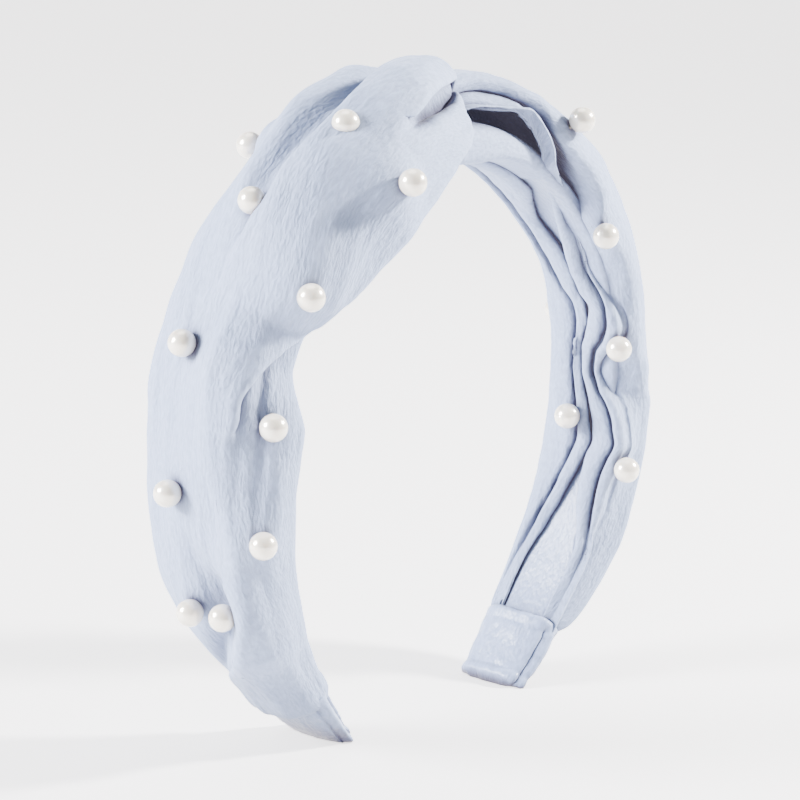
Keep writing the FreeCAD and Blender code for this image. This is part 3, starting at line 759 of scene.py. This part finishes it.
# The caps: half width and height at stations, and what the rolled mouth and the foot's welt add.
CAP_START_S = 154.6
CAP_STATIONS = [CAP_START_S, 156, 161, 167, TIP_S]
CAP_HALF = [9.0, 8.9, 8.6, 8.3, 7.9]
CAP_HIGH = [4.3, 4.2, 3.5, 2.9, 2.5]
CAP_WELTS = [
    (CAP_START_S, -0.6, -0.5), (154.9, 0.1, 0.1), (155.5, 0.35, 0.35), (156.4, 0.3, 0.3),
    (157.5, 0.2, 0.2), (159.0, 0.45, 0.4), (163.0, 0.5, 0.5), (168.0, 0.35, 0.25),
    (TIP_S - 2.6, 0.2, 0.1), (TIP_S - 1.2, 0.5, 0.55), (TIP_S - 0.5, 0.45, 0.5), (TIP_S, 0.0, 0.0),
]
CAP_Q = 2.6
# The folded edge runs down the front side, between two grooves.
FOLD_ANGLE = 1.5 * math.pi
FOLD_HIGH, FOLD_WIDE = 0.9, 0.13
GROOVE_DEEP, GROOVE_WIDE, GROOVE_OFF = 0.55, 0.10, 0.36


def cap(side):
    """Folded satin pocket over the tip: a rolled mouth over the scarf's end, flat at the foot."""
    s = np.concatenate([np.arange(CAP_START_S, 158, 0.15), np.arange(158, TIP_S - 3, 0.5),
                        np.arange(TIP_S - 3, TIP_S + 0.01, 0.15)])
    welt_s, welt_half, welt_high = np.array(CAP_WELTS).T
    half = pchip(CAP_STATIONS, CAP_HALF, s) + pchip(welt_s, welt_half, s)
    high = pchip(CAP_STATIONS, CAP_HIGH, s) + pchip(welt_s, welt_high, s)
    a = np.linspace(0, 2 * math.pi, 120, endpoint=False)
    sa, ca = np.sin(a), np.cos(a)
    y = half[:, None] * np.sign(sa) * np.abs(sa) ** (2 / CAP_Q)
    n = high[:, None] * np.sign(ca) * np.abs(ca) ** (2 / CAP_Q)
    fold = FOLD_HIGH * np.exp(-((a - FOLD_ANGLE) / FOLD_WIDE) ** 2)
    for offset in (GROOVE_OFF, -GROOVE_OFF):
        fold = fold - GROOVE_DEEP * np.exp(-((a - FOLD_ANGLE - offset) / GROOVE_WIDE) ** 2)
    fade = np.clip((s - 155.5) / 2, 0, 1)[:, None]
    y = y + fold[None, :] * fade * np.sign(sa)[None, :]
    n = n * (1 + 0.25 * np.minimum(fold, 0)[None, :] * fade)
    # Puckers that run away from the folded edge.
    near_fold = np.exp(-((a - FOLD_ANGLE) / 0.5) ** 2)[None, :]
    pucker = np.sin(s[:, None] * 2.6 + 3 * ca[None, :]) * near_fold
    n = n * (1 + 0.06 * pucker * fade)
    pts = hoop(side * s[:, None], y, n)
    pts = crumple(pts, cloth_uv(pts), along=6.0, across=4.0, size=0.22, seed=21.0 + side)
    pts[..., 2] = np.maximum(pts[..., 2], 0.0)
    # Closed foot: rings shrinking to the middle of the last section, just off the floor.
    last = pts[-1]
    mid = last.mean(axis=0)
    rings = []
    for shrink, flat in ((0.8, 0.8), (0.5, 0.5), (0.2, 0.2), (0.02, 0.0)):
        ring = mid + (last - mid) * shrink
        rings.append(ring * np.array([1, 1, 0]) + np.array([0, 0, 0.25 * (1 - flat)]))
    pts = np.concatenate([pts, np.array(rings)])
    name = "tip_cap_%s_cloth" % ("left" if side < 0 else "right")
    return thicken(grid_mesh(name, pts, cloth_uv(pts), closed=True), SATIN_THICK)


# ---------------------------------------------------------------- build
# Each cloth piece stands for the CAD solids that it covers; the caps move with their leg, the other pieces
# stay in place.
left = left_scarf()
dress(left, CREPE, blend=zone(-1), slot="crepe",
      stands_for=("scarf_left", "knot_upper_lobe", "knot_lower_lobe"))
right = right_scarf()
dress(right, CREPE, blend=zone(1), slot="crepe", stands_for=("scarf_right", "knot_tail"))
under = underwrap()
dress(under, CREPE, blend=zone(1), slot="crepe", stands_for=("knot_underwrap",))
linings, caps = {}, {}
for side, word in ((-1, "left"), (1, "right")):
    linings[word] = lining(side)
    dress(linings[word], SATIN, blend=zone(side), slot="satin",
          stands_for=("lining_" + word, "lining_crown"))
    caps[word] = cap(side)
    dress(caps[word], SATIN, word + "_leg", slot="satin", stands_for=("tip_cap_" + word,))

# Rigid pieces keep their CAD shape and only get a material.
for name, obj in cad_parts.items():
    if name.startswith("pearl_rivets"):
        mat = METAL
    elif name.startswith("pearl_"):
        mat = PEARL
    elif name.startswith("core_"):
        mat = PLASTIC
    elif "glue" in name:
        mat = GLUE
    else:
        continue
    obj.data.materials.clear()
    obj.data.materials.append(mat)


# ---------------------------------------------------------------- floor, lights, camera
CAMERA_AZIMUTH = math.radians(-50.0)
CAMERA_ELEVATION = math.radians(12.5)
CAMERA_ROLL = math.radians(2.4)
CAMERA_TARGET = (-3.6, 3.4, 71.0)
CAMERA_DISTANCE = 780.0
CAMERA_LENS = 157.5
FLOOR_DROP = -0.2
FLOOR_NEAR, FLOOR_FAR = -1200.0, 1600.0
FLOOR_SIDE = 2500.0
BACKDROP_BEND, BACKDROP_HIGH = 350.0, 900.0


def floor():
    """A pale floor that curves up into a backdrop, facing the camera."""
    foot = FLOOR_FAR - BACKDROP_BEND
    prof = [(FLOOR_NEAR, FLOOR_DROP), (foot, FLOOR_DROP)]
    prof += [(foot + BACKDROP_BEND * math.sin(a), FLOOR_DROP + BACKDROP_BEND * (1 - math.cos(a)))
             for a in np.linspace(0.08, math.pi / 2, 20)]
    prof += [(FLOOR_FAR, BACKDROP_BEND + BACKDROP_HIGH)]
    away = Vector((-math.sin(CAMERA_AZIMUTH), math.cos(CAMERA_AZIMUTH), 0))
    side = Vector((away.y, -away.x, 0))
    widths = np.linspace(-FLOOR_SIDE, FLOOR_SIDE, 12)
    pts = np.array([[tuple(away * d + side * w + Vector((0, 0, z))) for w in widths] for d, z in prof])
    obj = grid_mesh("floor", pts)
    mat = mottled("floor", 3.0, 1.0, (0.55, 0.54, 0.545, 1), (0.57, 0.56, 0.565, 1),
                  {"Roughness": 0.6, "Emission Color": (1.0, 0.985, 0.99, 1), "Emission Strength": 1.9})
    obj.data.materials.append(mat)


def softbox(name, place, aim, size, power, colour):
    """A round area light at place, in metres, that faces aim."""
    light = bpy.data.lights.new(name, "AREA")
    light.shape = "DISK"
    light.size = size
    light.energy = power
    light.color = colour
    obj = bpy.data.objects.new(name, light)
    bpy.context.collection.objects.link(obj)
    obj.location = place
    obj.rotation_euler = (Vector(aim) - Vector(place)).to_track_quat("-Z", "Y").to_euler()


def room():
    """Pale studio surroundings with a darker, warm side that the pearls mirror."""
    world = bpy.data.worlds.new("studio")
    world.use_nodes = True
    nt = world.node_tree
    coord = node(nt, "ShaderNodeTexCoord")
    aim = node(nt, "ShaderNodeVectorMath", operation="DOT_PRODUCT")
    nt.links.new(coord.outputs["Generated"], aim.inputs[0])
    aim.inputs[1].default_value = (-0.74, -0.64, 0.21)
    side = node(nt, "ShaderNodeMapRange", interpolation_type="SMOOTHSTEP")
    side.inputs["From Min"].default_value = 0.55
    side.inputs["From Max"].default_value = 0.97
    nt.links.new(aim.outputs["Value"], side.inputs["Value"])
    background = nt.nodes["Background"]
    pale, warm = (0.95, 0.95, 0.97, 1), (0.22, 0.15, 0.10, 1)
    nt.links.new(mix_colour(nt, side.outputs[0], pale, warm), background.inputs["Color"])
    background.inputs["Strength"].default_value = 0.28
    bpy.context.scene.world = world


def camera():
    """A long lens that looks at the left front of the headband, tilted a little."""
    az, el, roll = CAMERA_AZIMUTH, CAMERA_ELEVATION, CAMERA_ROLL
    back = Vector((math.sin(az) * math.cos(el), -math.cos(az) * math.cos(el), math.sin(el)))
    right_dir = Vector((0, 0, 1)).cross(back).normalized()
    up_dir = back.cross(right_dir)
    x_dir = right_dir * math.cos(roll) + up_dir * math.sin(roll)
    y_dir = up_dir * math.cos(roll) - right_dir * math.sin(roll)
    cam = bpy.data.objects.new("camera", bpy.data.cameras.new("camera"))
    bpy.context.collection.objects.link(cam)
    m = Matrix((x_dir, y_dir, back)).transposed().to_4x4()
    m.translation = Vector(CAMERA_TARGET) * MM + back * CAMERA_DISTANCE * MM
    cam.matrix_world = m
    cam.data.lens = CAMERA_LENS
    cam.data.sensor_width = 36.0
    cam.data.clip_end = 20.0
    bpy.context.scene.camera = cam


MIDDLE = (0, 0, 0.07)
floor()
softbox("key", (0.56, -0.44, 0.52), MIDDLE, size=0.12, power=44.0, colour=(1.0, 0.98, 0.95))
softbox("sky", (0.15, 0.3, 1.3), (0, 0, 0.05), size=1.0, power=12.0, colour=(1.0, 1.0, 1.0))
softbox("side", (-0.95, 0.65, 0.5), MIDDLE, size=0.5, power=85.0, colour=(0.98, 0.98, 1.0))
room()
camera()
